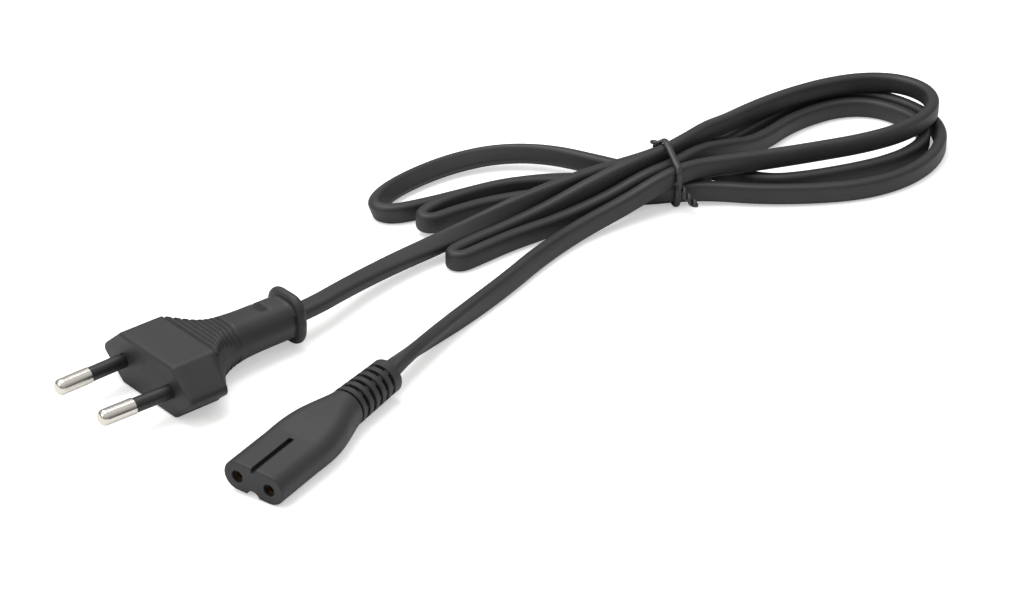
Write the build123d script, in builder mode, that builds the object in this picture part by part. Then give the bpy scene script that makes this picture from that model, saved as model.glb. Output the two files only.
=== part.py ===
"""Mains lead: flat two pin plug, flat twin cord folded into a loose hank, figure of eight connector.

Millimetres, +Z up. The lead lies on the plane Z = 0. The origin is under the middle of the plug's head,
+X runs from the pins towards the cord and +Y points to the side on which the largest left loop lies.
"""
import os
from math import asin, atan2, cos, degrees, exp, hypot, pi, radians, sin, tan

from build123d import *

# Plug head, a flattened hexagon seen from the pins
HEAD_HEIGHT = 13.7
HEAD_WIDTH = 35.2
HEAD_TOP_WIDTH = 21.6
HEAD_LENGTH = 12.0
WING_LENGTH = 10.0
WING_NOSE_RADIUS = 2.4
HEAD_CORNER_RADIUS = 1.6
HEAD_FACE_RADIUS = 0.6
FLANK_END = 20.0
FLANK_MIDDLE = (13.6, 10.6)
FLANK_SINK = 0.4
AXIS_Z = HEAD_HEIGHT / 2
FACE_X = -HEAD_LENGTH / 2

# Plug neck, which narrows from the head to an oval
NECK_SHOULDER = 12.0
NECK_STEPS = [NECK_SHOULDER, 14.0, 16.0, 18.5, 21.5, 25.5, 31.0, 43.0]
NECK_WIDTH = 12.0
NECK_HEIGHT = 10.8
NECK_WIDTH_FADE = 5.2
NECK_HEIGHT_FADE = 8.0
NECK_CORNER_SHARE = 0.4
GRIP_GROOVES = 9
GRIP_PITCH = 1.7
GRIP_FIRST = 12.6
GRIP_GROOVE_WIDTH = 0.75
GRIP_GROOVE_DEPTH = 0.5
GRIP_SIDE_MARGIN = 1.9
HOLDING_SLOT_X = 33.4
HOLDING_SLOT_LENGTH = 5.2
HOLDING_SLOT_WIDTH = 1.1
HOLDING_SLOT_DEPTH = 1.4

# Collar at the plug's cord end
COLLAR_START = 41.4
COLLAR_THICKNESS = 3.2
COLLAR_WIDTH = 13.8
COLLAR_HEIGHT = 13.2
COLLAR_CORNER = 4.2
COLLAR_RIM = 1.5

# Plug pins, round, closing slightly towards their tips
PIN_LENGTH = 19.0
PIN_RADIUS = 2.0
PIN_BARE_LENGTH = 9.0
PIN_SPACING_BASE = 18.6
PIN_SPACING_TIP = 17.5
PIN_STEM_RADIUS = 1.5
PIN_TIP_RADIUS = 1.4
SLEEVE_RADIUS = 1.8
SLEEVE_SUNK = 2.0
PIN_RECESS_RADIUS = 3.4
PIN_RECESS_DEPTH = 0.9
PIN_FLANGE_RADIUS = 2.5
PIN_FLANGE_THICKNESS = 1.0
BRIDGE_DEPTH = 3.5
BRIDGE_WIDTH = 25.0
BRIDGE_HEIGHT = 8.0
BRIDGE_CORNER = 2.0
BARREL_RADIUS = 1.4
BARREL_LENGTH = 4.0
BARREL_BORE_DEPTH = 3.0

# Flat twin cord and its two cores
CORD_WIDTH = 5.4
CORD_THICKNESS = 3.4
CORD_EDGE_RADIUS = 1.6
CORE_RADIUS = 1.15
CORE_PITCH = 2.4
CONDUCTOR_RADIUS = 0.6
CONDUCTOR_BARE = 0.8

# Connector, lying on the lip of one lobe and on the first ring of its strain relief
CONNECTOR_MOUTH = (-12.2, -49.3)
CONNECTOR_TURN = 16.6
CONNECTOR_RISE = 1.1
CONNECTOR_ROLL = 4.8
CONTACT_SPACING = 8.6
LOBE_RADIUS = 3.8
MOUTH_LENGTH = 17.0
MOUTH_EDGE_RADIUS = 0.5
NOTCH_RADIUS = 1.9
NOTCH_DEPTH = 1.5
TOP_GROOVE_WIDTH = 1.3
TOP_GROOVE_DEPTH = 1.2
GROOVE_LENGTH = 14.5
BODY_STATIONS = [
    (15.0, 16.2, 7.5, 3.7),
    (20.0, 16.0, 8.1, 3.8),
    (26.5, 14.0, 8.8, 4.0),
    (31.0, 11.6, 9.1, 4.3),
    (35.4, 9.5, 9.3, 4.6),
]
ENTRY_RADIUS = 1.5
CARRIER_START = 1.5
CARRIER_LENGTH = 15.5
CARRIER_WIDTH = 13.4
CARRIER_HEIGHT = 5.0
CARRIER_CORNER = 2.2
CONTACT_RADIUS = 1.8
CONTACT_BORE_RADIUS = 1.2
CONTACT_BORE_LENGTH = 11.0
CONTACT_LENGTH = 14.0
CONTACT_BARREL_RADIUS = 1.3
CONTACT_BARREL_LENGTH = 4.5
CONTACT_NECK_RADIUS = 1.55
CONTACT_NECK_START = 3.0
CONTACT_NECK_END = 6.0

# Strain relief of the connector: rings, with webs between them round a core
RELIEF_START = 35.0
RELIEF_END = 51.9
RELIEF_RADIUS_FRONT = 4.8
RELIEF_RADIUS_REAR = 4.3
RELIEF_CORE_RADIUS = 3.3
RELIEF_WEB_DROP = 0.25
RELIEF_RINGS = 6
RELIEF_FIRST_RING = 36.0
RELIEF_PITCH = 2.65
RELIEF_RING_WIDTH = 1.45
RELIEF_WEBS = 6
RELIEF_WEB_WIDTH = 1.3

# Routes of the two leads, from inside the plug or the connector to the hank
PLUG_LEAD = [
    (31.4, 0.0, AXIS_Z),
    (44.5, 0.0, AXIS_Z),
    (61.0, 6.5, 5.0),
    (78.0, 10.0, 3.4),
    (96.0, 10.9, 4.2),
    (112.2, 7.0, 6.4),
    (127.4, 2.2, 7.9),
    (141.0, -1.4, 8.6),
]
CONNECTOR_JACKET_START = 38.0
CONNECTOR_LEAD_CORNER = 55.5
CONNECTOR_LEAD = [
    (57.0, -25.0, 3.0),
    (77.0, -19.5, 2.5),
    (96.0, -12.8, 2.6),
    (112.0, -8.5, 2.8),
    (127.0, -7.4, 3.3),
    (142.0, -7.2, 4.4),
]

# Hank: each fold is a band of cord standing on edge, laid out by its corners, in one of two layers
LAYER_HEIGHT = CORD_WIDTH
UPPER_LAYER = 5.1
FOLD_LONGEST_RADIUS = 300.0
LOWER_FOLDS = [
    [(148, 6), (147, 18), (141, 28), (133.5, 36), (124.5, 41.5), (111.5, 43), (101, 42), (94, 40),
     (90.5, 36), (92, 31.5), (96.5, 28.8), (105, 24.5), (119, 18.5), (134, 12)],
    [(147, -2.8), (147, 2), (128, 1.8), (109, 2.6), (91.5, 3), (88.5, -0.8), (92, -4.2), (110, -3.9),
     (128, -2.8)],
    [(177.5, -29.5), (186.5, -35.7), (196.5, -40.7), (209, -42.3), (223, -39.5), (234, -33), (238, -24),
     (237.5, -14), (231.5, -5), (221, 0), (207, 2.6), (192, 2.6), (174, 0), (163, -3), (162, -12)],
    [(181, -19.3), (190, -25), (200, -30.5), (212, -33.8), (224, -33.5), (230.5, -26), (230, -16),
     (224, -9.5), (215, -6), (201, -3.6), (187, -2.5), (175, -3), (164, -4), (162, -10)],
]
UPPER_FOLDS = [
    [(145, 4.4), (146.5, 8.6), (131.5, 13.6), (120, 19.5), (109, 23), (101, 24), (96, 22.5), (96, 18.8),
     (103, 16.6), (117, 13.4), (131, 8.6)],
    [(181, -22), (191.5, -27.5), (202, -32), (213, -34.5), (225, -34), (235, -29), (239.6, -21),
     (239.6, -11), (233, -3), (222, 2.3), (209, 5.2), (194, 6), (177, 3.5), (166, -1), (162, -10)],
]
BUNDLE_OUTLINE = [
    (139, 11), (147, 8), (153, 3), (159, 1), (170, 5), (171, -21), (160, -12.5), (152, -11), (144, -10.5), (139, -9.5),
]
BUNDLE_HEIGHT = 11.6

# Twist tie round the bundle
TIE_CENTRE = (156.4, -4.9)
TIE_WIRE_RADIUS = 0.9
TIE_WIDTH = 14.6
TIE_HEIGHT = 11.4
TIE_CORNER = 4.0
TIE_CHANNEL_WIDTH = 2.4
TIE_CHANNEL_DEPTH = 1.5

os.makedirs("parts", exist_ok=True)


def finish(part, label):
    """Names a finished piece and writes its file."""
    part.label = label
    export_step(part, f"parts/{label}.step")
    return part


def arc_radii(points):
    """The radius of the arc at each inner corner: 0.45 of the shorter run over the tangent of half the turn."""
    radii = []
    for before, corner, after in zip(points, points[1:], points[2:]):
        run_in = Vector(*corner) - Vector(*before)
        run_out = Vector(*after) - Vector(*corner)
        half_turn = radians(run_in.get_angle(run_out)) / 2
        radii.append(0.45 * min(run_in.length, run_out.length) / tan(half_turn))
    return radii


def fold_outline(corners, outwards):
    """Draws a closed outline at a distance outside the middle line of a fold, whose corners run anticlockwise."""
    before = corners[-1:] + corners[:-1]
    after = corners[1:] + corners[:1]
    middle_radii = arc_radii([(x, y, 0) for x, y in corners[-1:] + corners + corners[:1]])
    moved = []
    radii = []
    for previous, corner, following, radius in zip(before, corners, after, middle_radii):
        run_in = (Vector(*corner) - Vector(*previous)).normalized()
        run_out = (Vector(*following) - Vector(*corner)).normalized()
        normals = Vector(run_in.Y + run_out.Y, -run_in.X - run_out.X)
        moved.append(Vector(*corner) + normals * (outwards / (1 + run_in.dot(run_out))))
        turns_left = run_in.cross(run_out).Z > 0
        radii.append(min(radius, FOLD_LONGEST_RADIUS) + (outwards if turns_left else -outwards))
    seam_end = moved[-1] + (moved[0] - moved[-1]) * 0.48
    seam_start = moved[-1] + (moved[0] - moved[-1]) * 0.52
    FilletPolyline(seam_start, *moved, seam_end, radius=radii)
    Line(seam_end, seam_start)


def plug_station(behind_face, sideways=0.0):
    """A plane across the plug: X to the side, Y up, Z towards the cord."""
    return Plane(origin=(FACE_X + behind_face, sideways, AXIS_Z), x_dir=(0, 1, 0), z_dir=(1, 0, 0))


def neck_size(behind_face):
    """Width and height of the neck, which fade from the head's to the oval's as they leave the shoulder."""
    past = max(behind_face - NECK_SHOULDER, 0.0)
    wide = exp(-((past / NECK_WIDTH_FADE) ** 1.4))
    high = exp(-((past / NECK_HEIGHT_FADE) ** 1.7))
    width = NECK_WIDTH + (HEAD_TOP_WIDTH - NECK_WIDTH) * wide
    height = NECK_HEIGHT + (HEAD_HEIGHT - NECK_HEIGHT) * high
    return width, height


# Pins. PIN_SPLAY is the angle by which each pin leans in towards the plug's middle.
PIN_SPLAY = degrees((PIN_SPACING_BASE - PIN_SPACING_TIP) / 2 / PIN_LENGTH)
FLANGE_START = SLEEVE_SUNK + BRIDGE_DEPTH
BARREL_START = FLANGE_START + PIN_FLANGE_THICKNESS
BARREL_END = BARREL_START + BARREL_LENGTH
SIDES = {"far": 1, "near": -1}


def pin_plane(side):
    """The plane whose X axis runs back along a pin and whose origin is the pin's base in the plug's face."""
    lean = radians(PIN_SPLAY) * side
    return Plane(
        origin=(FACE_X, side * PIN_SPACING_BASE / 2, AXIS_Z),
        x_dir=(cos(lean), sin(lean), 0),
        z_dir=(0, 0, 1),
    )


def pin_point(side, along):
    """A point on a pin's axis, measured back from the plug's face."""
    plane = pin_plane(side)
    return plane.origin + plane.x_dir * along


def turn_about_pin(side, label, lines):
    """Turns a closed half profile, drawn by the function lines, about a pin's axis."""
    plane = pin_plane(side)
    with BuildPart() as turned:
        with BuildSketch(plane):
            with BuildLine():
                lines()
            make_face()
        revolve(axis=Axis(plane.origin, plane.x_dir))
    return finish(turned.part, label)


def pin_profile():
    """Domed bare end, thinner stem under the sleeve and in the bridge, flange, crimp barrel."""
    flat = Line((-PIN_LENGTH, 0), (-PIN_LENGTH, PIN_RADIUS - PIN_TIP_RADIUS))
    dome = JernArc(start=flat @ 1, tangent=(0, 1), radius=PIN_TIP_RADIUS, arc_size=-90)
    Polyline(
        dome @ 1,
        (-PIN_LENGTH + PIN_BARE_LENGTH, PIN_RADIUS),
        (-PIN_LENGTH + PIN_BARE_LENGTH, PIN_STEM_RADIUS),
        (FLANGE_START, PIN_STEM_RADIUS),
        (FLANGE_START, PIN_FLANGE_RADIUS),
        (BARREL_START, PIN_FLANGE_RADIUS),
        (BARREL_START, BARREL_RADIUS),
        (BARREL_END, BARREL_RADIUS),
        (BARREL_END, CONDUCTOR_RADIUS),
        (BARREL_END - BARREL_BORE_DEPTH, CONDUCTOR_RADIUS),
        (BARREL_END - BARREL_BORE_DEPTH, 0),
        flat @ 0,
    )


def sleeve_profile():
    """The insulating sleeve on the pin's stem, sunk into the plug's face."""
    Polyline(
        (-PIN_LENGTH + PIN_BARE_LENGTH, PIN_STEM_RADIUS),
        (-PIN_LENGTH + PIN_BARE_LENGTH, SLEEVE_RADIUS),
        (SLEEVE_SUNK, SLEEVE_RADIUS),
        (SLEEVE_SUNK, PIN_STEM_RADIUS),
        close=True,
    )


plug_inside = []
for name, side in SIDES.items():
    plug_inside.append(turn_about_pin(side, f"plug_pin_{name}", pin_profile))
    plug_inside.append(turn_about_pin(side, f"pin_sleeve_{name}", sleeve_profile))

# Bridge: the hard carrier that holds both pins while the body is moulded round it
with BuildPart() as bridge:
    with BuildSketch(plug_station(SLEEVE_SUNK)):
        RectangleRounded(BRIDGE_WIDTH, BRIDGE_HEIGHT, BRIDGE_CORNER)
    extrude(amount=BRIDGE_DEPTH)
    add(plug_inside, mode=Mode.SUBTRACT)
plug_inside.append(finish(bridge.part, "plug_bridge"))


def rod(points, radius, label):
    """A round wire along a route of straight runs joined by arcs."""
    with BuildPart() as wire:
        with BuildLine() as route:
            if len(points) > 2:
                FilletPolyline(*points, radius=arc_radii(points))
            else:
                Line(*points)
        with BuildSketch(Plane(origin=route.line @ 0, z_dir=route.line % 0)):
            Circle(radius)
        sweep()
    return finish(wire.part, label)


def flat_cord(points, label):
    """A lead: the flat cord's section, wide side level, carried along its route."""
    with BuildPart() as lead:
        with BuildLine() as route:
            FilletPolyline(*points, radius=arc_radii(points))
        start = Plane(origin=route.line @ 0, x_dir=Vector(0, 0, 1).cross(route.line % 0), z_dir=route.line % 0)
        with BuildSketch(start):
            RectangleRounded(CORD_WIDTH, CORD_THICKNESS, CORD_EDGE_RADIUS)
        sweep()
    length = sum(edge.length for edge in route.edges())
    section = CORD_WIDTH * CORD_THICKNESS - (4 - pi) * CORD_EDGE_RADIUS**2
    print(label, "radii", [round(r, 1) for r in arc_radii(points)], "length", round(length, 1))
    print(label, "volume", round(lead.part.volume, 1), "section x length", round(section * length, 1))
    return finish(lead.part, label)


plug_lead = flat_cord(PLUG_LEAD, "cord_plug_lead")

# Cores between the crimp barrels and the end of the jacket in the plug
for name, side in SIDES.items():
    jacket_end = Vector(*PLUG_LEAD[0])
    plug_inside.append(rod(
        [pin_point(side, BARREL_END - BARREL_BORE_DEPTH), pin_point(side, BARREL_END + CONDUCTOR_BARE)],
        CONDUCTOR_RADIUS,
        f"plug_conductor_{name}",
    ))
    plug_inside.append(rod(
        [
            pin_point(side, BARREL_END + CONDUCTOR_BARE),
            pin_point(side, BARREL_END + CONDUCTOR_BARE + 1.0),
            Vector(FACE_X + 17.5, side * 1.4 * CORE_PITCH, AXIS_Z),
            jacket_end + Vector(-8.0, side * CORE_PITCH / 2, 0),
            jacket_end + Vector(0, side * CORE_PITCH / 2, 0),
        ],
        CORE_RADIUS,
        f"plug_core_{name}",
    ))

# Plug body, moulded in one piece round all of that. HEAD_WIDTH is measured over the rounded noses of the
# wings, so the slanted sides meet further out, at nose_tip.
nose_run = HEAD_WIDTH / 2 - WING_NOSE_RADIUS - HEAD_TOP_WIDTH / 2
nose_slope = atan2(HEAD_HEIGHT / 2, nose_run) - asin(WING_NOSE_RADIUS / hypot(nose_run, HEAD_HEIGHT / 2))
nose_tip = HEAD_TOP_WIDTH / 2 + HEAD_HEIGHT / 2 / tan(nose_slope)
with BuildPart() as plug_body:
    with BuildSketch(plug_station(0)) as face:
        with BuildLine():
            Polyline(
                (-nose_tip, 0),
                (-HEAD_TOP_WIDTH / 2, HEAD_HEIGHT / 2),
                (HEAD_TOP_WIDTH / 2, HEAD_HEIGHT / 2),
                (nose_tip, 0),
                (HEAD_TOP_WIDTH / 2, -HEAD_HEIGHT / 2),
                (-HEAD_TOP_WIDTH / 2, -HEAD_HEIGHT / 2),
                close=True,
            )
        make_face()
        noses = face.vertices().group_by(SortBy.DISTANCE)[-1]
        fillet(noses, WING_NOSE_RADIUS)
        corners = face.vertices().filter_by(lambda v: abs(abs(v.Y) - HEAD_HEIGHT / 2) < 0.01)
        fillet(corners, HEAD_CORNER_RADIUS)
    extrude(amount=FLANK_END)
    # The plan cuts the hexagon's rear into two wings with hollow flanks
    half_head = HEAD_WIDTH / 2
    wing_back = FACE_X + WING_LENGTH
    flank_back = FACE_X + FLANK_END
    half_foot = neck_size(FLANK_END)[0] / 2 - FLANK_SINK
    with BuildSketch(Plane.XY):
        with BuildLine():
            Polyline((wing_back, half_head), (FACE_X, half_head), (FACE_X, -half_head), (wing_back, -half_head))
            ThreePointArc((wing_back, -half_head), (FACE_X + FLANK_MIDDLE[0], -FLANK_MIDDLE[1]), (flank_back, -half_foot))
            Line((flank_back, -half_foot), (flank_back, half_foot))
            ThreePointArc((flank_back, half_foot), (FACE_X + FLANK_MIDDLE[0], FLANK_MIDDLE[1]), (wing_back, half_head))
        make_face()
    extrude(amount=HEAD_HEIGHT, mode=Mode.INTERSECT)
    fillet(plug_body.edges().filter_by_position(Axis.X, FACE_X - 0.01, FACE_X + 0.01), HEAD_FACE_RADIUS)
    # The neck is a loft through sections that follow neck_size
    for step in NECK_STEPS:
        width, height = neck_size(step)
        with BuildSketch(plug_station(step)):
            RectangleRounded(width, height, NECK_CORNER_SHARE * height)
    loft()
    # Collar with a full round rim
    with BuildPart(mode=Mode.PRIVATE) as collar:
        with BuildSketch(plug_station(COLLAR_START)):
            RectangleRounded(COLLAR_WIDTH, COLLAR_HEIGHT, COLLAR_CORNER)
        extrude(amount=COLLAR_THICKNESS)
        fillet(collar.faces().filter_by(Axis.X).edges(), COLLAR_RIM)
    add(collar.part)
    add(plug_inside, mode=Mode.SUBTRACT)
    # The lead is straight as far as the collar's back
    with BuildSketch(Plane(origin=PLUG_LEAD[0], x_dir=(0, 1, 0), z_dir=(1, 0, 0))):
        RectangleRounded(CORD_WIDTH, CORD_THICKNESS, CORD_EDGE_RADIUS)
    extrude(amount=CORD_WIDTH * 2, mode=Mode.SUBTRACT)
    # Grip grooves across the top and the underside, short of the flanks
    with BuildPart(mode=Mode.PRIVATE) as grooves:
        for groove in range(GRIP_GROOVES):
            step = GRIP_FIRST + groove * GRIP_PITCH
            width, height = neck_size(step)
            inner_height = height - 2 * GRIP_GROOVE_DEPTH
            with BuildSketch(plug_station(step)):
                Rectangle(width - 2 * GRIP_SIDE_MARGIN, HEAD_HEIGHT + 1)
                RectangleRounded(width, inner_height, NECK_CORNER_SHARE * inner_height, mode=Mode.SUBTRACT)
            extrude(amount=GRIP_GROOVE_WIDTH)
        # Slots left by the blades that held the cord in the mould
        with BuildSketch(plug_station(HOLDING_SLOT_X)):
            for up in (1, -1):
                with Locations((0, up * neck_size(HOLDING_SLOT_X)[1] / 2)):
                    Rectangle(HOLDING_SLOT_LENGTH, 2 * HOLDING_SLOT_DEPTH)
        extrude(amount=HOLDING_SLOT_WIDTH)
        # Recesses round the pins in the face
        for side in SIDES.values():
            with BuildSketch(plug_station(0, side * PIN_SPACING_BASE / 2)):
                Circle(PIN_RECESS_RADIUS)
            extrude(amount=PIN_RECESS_DEPTH, taper=35)
    add(grooves.part, mode=Mode.SUBTRACT)
finish(plug_body.part, "plug_body")
print("plug body volume", round(plug_body.part.volume, 1), "solids", len(plug_body.part.solids()))

# Connector. Its planes stand across its axis, which rises a little from the lip of the mouth to the rings.
# It is rolled a little about that axis, so only one lobe touches the surface it lies on.
turn = radians(CONNECTOR_TURN)
rise = radians(CONNECTOR_RISE)
roll = radians(CONNECTOR_ROLL)
CONNECTOR_AXIS = Vector(cos(turn) * cos(rise), sin(turn) * cos(rise), sin(rise))
CONNECTOR_LEFT = Vector(-sin(turn), cos(turn), 0).rotate(Axis((0, 0, 0), CONNECTOR_AXIS), CONNECTOR_ROLL)
MOUTH_CENTRE = Vector(*CONNECTOR_MOUTH, LOBE_RADIUS / cos(rise) + CONTACT_SPACING / 2 * sin(roll))


def connector_point(along, sideways=0.0, up=0.0):
    """A point of the connector: along its axis from the mouth, to its left side and up."""
    plane = connector_station(along)
    return plane.origin + plane.x_dir * sideways + plane.y_dir * up


def connector_station(along, sideways=0.0):
    """A plane across the connector: X to its left side, Y up, Z towards the cord."""
    origin = MOUTH_CENTRE + CONNECTOR_AXIS * along + CONNECTOR_LEFT * sideways
    return Plane(origin=origin, x_dir=CONNECTOR_LEFT, z_dir=CONNECTOR_AXIS)


def contact_profile():
    """Tubular contact with a waist for its spring ring, then the crimp barrel."""
    end = CARRIER_START + CONTACT_LENGTH
    tail = end + CONTACT_BARREL_LENGTH
    Polyline(
        (CARRIER_START, CONTACT_BORE_RADIUS),
        (CARRIER_START, CONTACT_RADIUS),
        (CARRIER_START + CONTACT_NECK_START, CONTACT_RADIUS),
        (CARRIER_START + CONTACT_NECK_START, CONTACT_NECK_RADIUS),
        (CARRIER_START + CONTACT_NECK_END, CONTACT_NECK_RADIUS),
        (CARRIER_START + CONTACT_NECK_END, CONTACT_RADIUS),
        (end, CONTACT_RADIUS),
        (end, CONTACT_BARREL_RADIUS),
        (tail, CONTACT_BARREL_RADIUS),
        (tail, CONDUCTOR_RADIUS),
        (tail - BARREL_BORE_DEPTH, CONDUCTOR_RADIUS),
        (tail - BARREL_BORE_DEPTH, 0),
        (CARRIER_START + CONTACT_BORE_LENGTH, 0),
        (CARRIER_START + CONTACT_BORE_LENGTH, CONTACT_BORE_RADIUS),
        close=True,
    )


CONTACT_TAIL = CARRIER_START + CONTACT_LENGTH + CONTACT_BARREL_LENGTH
lead_start = [connector_point(CONNECTOR_JACKET_START), connector_point(CONNECTOR_LEAD_CORNER)]
connector_lead = flat_cord([tuple(point) for point in lead_start] + CONNECTOR_LEAD, "cord_connector_lead")

connector_inside = []
for name, side in SIDES.items():
    sideways = side * CONTACT_SPACING / 2
    left = connector_station(0, sideways)
    with BuildPart() as contact:
        with BuildSketch(Plane(origin=left.origin, x_dir=left.z_dir, z_dir=left.x_dir)):
            with BuildLine():
                contact_profile()
            make_face()
        revolve(axis=Axis(left.origin, left.z_dir))
    connector_inside.append(finish(contact.part, f"contact_{name}"))

# Carrier that holds both contacts
with BuildPart() as carrier:
    with BuildSketch(connector_station(CARRIER_START)):
        RectangleRounded(CARRIER_WIDTH, CARRIER_HEIGHT, CARRIER_CORNER)
        with Locations((CONTACT_SPACING / 2, 0), (-CONTACT_SPACING / 2, 0)):
            Circle(CONTACT_BORE_RADIUS, mode=Mode.SUBTRACT)
    extrude(amount=CARRIER_LENGTH - 1.0)
    add(connector_inside, mode=Mode.SUBTRACT)
connector_inside.append(finish(carrier.part, "contact_carrier"))

for name, side in SIDES.items():
    tail = side * CONTACT_SPACING / 2
    pitch = side * CORE_PITCH / 2
    connector_inside.append(rod(
        [connector_point(CONTACT_TAIL - BARREL_BORE_DEPTH, tail), connector_point(CONTACT_TAIL + CONDUCTOR_BARE, tail)],
        CONDUCTOR_RADIUS,
        f"connector_conductor_{name}",
    ))
    connector_inside.append(rod(
        [
            connector_point(CONTACT_TAIL + CONDUCTOR_BARE, tail),
            connector_point(CONTACT_TAIL + CONDUCTOR_BARE + 2.5, tail),
            connector_point(CONNECTOR_JACKET_START - 4.0, pitch),
            connector_point(CONNECTOR_JACKET_START, pitch),
        ],
        CORE_RADIUS,
        f"connector_core_{name}",
    ))


def relief_radius(along):
    """Outer radius of the strain relief, which tapers towards the cord."""
    share = (along - RELIEF_START) / (RELIEF_END - RELIEF_START)
    return RELIEF_RADIUS_FRONT + (RELIEF_RADIUS_REAR - RELIEF_RADIUS_FRONT) * share


# Connector body, moulded in one piece with its strain relief
with BuildPart() as connector_body:
    with BuildSketch(connector_station(0)):
        Rectangle(CONTACT_SPACING, 2 * LOBE_RADIUS)
        with Locations((CONTACT_SPACING / 2, 0), (-CONTACT_SPACING / 2, 0)):
            Circle(LOBE_RADIUS)
    extrude(amount=MOUTH_LENGTH)
    mouth_face = connector_body.faces().sort_by(Axis(MOUTH_CENTRE, CONNECTOR_AXIS))[0]
    fillet(mouth_face.edges(), MOUTH_EDGE_RADIUS)
    for step, width, height, corner in BODY_STATIONS:
        with BuildSketch(connector_station(step)):
            RectangleRounded(width, height, corner)
    loft()
    # Hollow between the lobes below, narrow groove above
    with BuildSketch(connector_station(-1)):
        with Locations((0, -LOBE_RADIUS - NOTCH_RADIUS + NOTCH_DEPTH)):
            Circle(NOTCH_RADIUS)
    extrude(amount=GROOVE_LENGTH + 1, mode=Mode.SUBTRACT)
    with BuildSketch(connector_station(-1)):
        with Locations((0, LOBE_RADIUS)):
            Rectangle(TOP_GROOVE_WIDTH, 2 * TOP_GROOVE_DEPTH)
    extrude(amount=GROOVE_LENGTH + 1, mode=Mode.SUBTRACT)
    # Strain relief: core, rings and the webs between them
    with BuildSketch(connector_station(RELIEF_START)):
        Circle(RELIEF_CORE_RADIUS)
    extrude(amount=RELIEF_END - RELIEF_START)
    for ring in range(RELIEF_RINGS):
        along = RELIEF_FIRST_RING + ring * RELIEF_PITCH
        last = ring == RELIEF_RINGS - 1
        ring_width = RELIEF_END - along if last else RELIEF_RING_WIDTH
        with BuildSketch(connector_station(along)):
            Circle(relief_radius(along))
        extrude(amount=ring_width)
    with BuildSketch(connector_station(RELIEF_START)):
        Circle(RELIEF_RADIUS_REAR - RELIEF_WEB_DROP)
        with BuildSketch(mode=Mode.INTERSECT):
            with PolarLocations(0, RELIEF_WEBS // 2, angular_range=180):
                Rectangle(4 * RELIEF_RADIUS_FRONT, RELIEF_WEB_WIDTH)
    extrude(amount=RELIEF_END - RELIEF_START - 1.0)
    # Entries in front of the contacts
    with BuildSketch(connector_station(0)):
        with Locations((CONTACT_SPACING / 2, 0), (-CONTACT_SPACING / 2, 0)):
            Circle(ENTRY_RADIUS)
    extrude(amount=CARRIER_START, mode=Mode.SUBTRACT)
    with BuildSketch(connector_station(CARRIER_START)):
        with Locations((CONTACT_SPACING / 2, 0), (-CONTACT_SPACING / 2, 0)):
            Circle(CONTACT_BORE_RADIUS)
    extrude(amount=CONTACT_BORE_LENGTH, mode=Mode.SUBTRACT)
    add(connector_inside + [connector_lead], mode=Mode.SUBTRACT)
finish(connector_body.part, "connector_body")
print("connector body volume", round(connector_body.part.volume, 1), "solids", len(connector_body.part.solids()))

# Twist tie: a wire loop across the bundle with its two ends twisted together
tie_plane = Plane(
    origin=(*TIE_CENTRE, TIE_HEIGHT / 2 + TIE_WIRE_RADIUS),
    x_dir=(0, 1, 0),
    z_dir=(1, 0, 0),
)
half_width = TIE_WIDTH / 2
half_height = TIE_HEIGHT / 2
tie_corners = [(half_width, -half_height), (half_width, half_height), (-half_width, half_height), (-half_width, -half_height)]
with BuildPart() as twist_tie:
    with BuildLine() as loop:
        FilletPolyline(*[tie_plane.from_local_coords((x, y, 0)) for x, y in tie_corners], radius=TIE_CORNER, close=True)
    lowest = loop.edges().sort_by(Axis.Z)[0]
    with BuildSketch(Plane(origin=lowest @ 0, z_dir=lowest % 0)):
        Circle(TIE_WIRE_RADIUS)
    sweep(path=loop.wire())
finish(twist_tie.part, "twist_tie")

# Hank: in each layer the folds are bands, joined through the bundle under the tie
with BuildPart() as cord_hank:
    for height, top, folds in ((0, LAYER_HEIGHT, LOWER_FOLDS), (UPPER_LAYER, BUNDLE_HEIGHT, UPPER_FOLDS)):
        with BuildSketch(Plane.XY.offset(height)) as layer:
            with BuildLine():
                Polyline(*BUNDLE_OUTLINE, close=True)
            make_face()
        extrude(amount=top - height)
        for corners in folds:
            with BuildSketch(Plane.XY.offset(height)):
                with BuildLine():
                    fold_outline(corners, CORD_THICKNESS / 2)
                make_face()
                with BuildLine():
                    fold_outline(corners, -CORD_THICKNESS / 2)
                make_face(mode=Mode.SUBTRACT)
            extrude(amount=LAYER_HEIGHT)
    add([plug_lead, connector_lead], mode=Mode.SUBTRACT)
    # Channel for the run of the tie under the bundle
    with BuildSketch(Plane(origin=(*TIE_CENTRE, 0), x_dir=tie_plane.x_dir)):
        Rectangle(2 * TIE_WIDTH, TIE_CHANNEL_WIDTH)
    extrude(amount=TIE_CHANNEL_DEPTH, mode=Mode.SUBTRACT)
    add(twist_tie.part, mode=Mode.SUBTRACT)
finish(cord_hank.part, "cord_hank")
print("hank volume", round(cord_hank.part.volume, 1), "solids", len(cord_hank.part.solids()))
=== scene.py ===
"""Scene of a mains lead: flat two pin plug, flat twin cord folded into a hank, figure of eight connector.

The CAD model is the frame. Everything here is in its row frame, in metres, +Z up, and lies on Z = 0.
"""

from math import cos, pi, radians, sin

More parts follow.
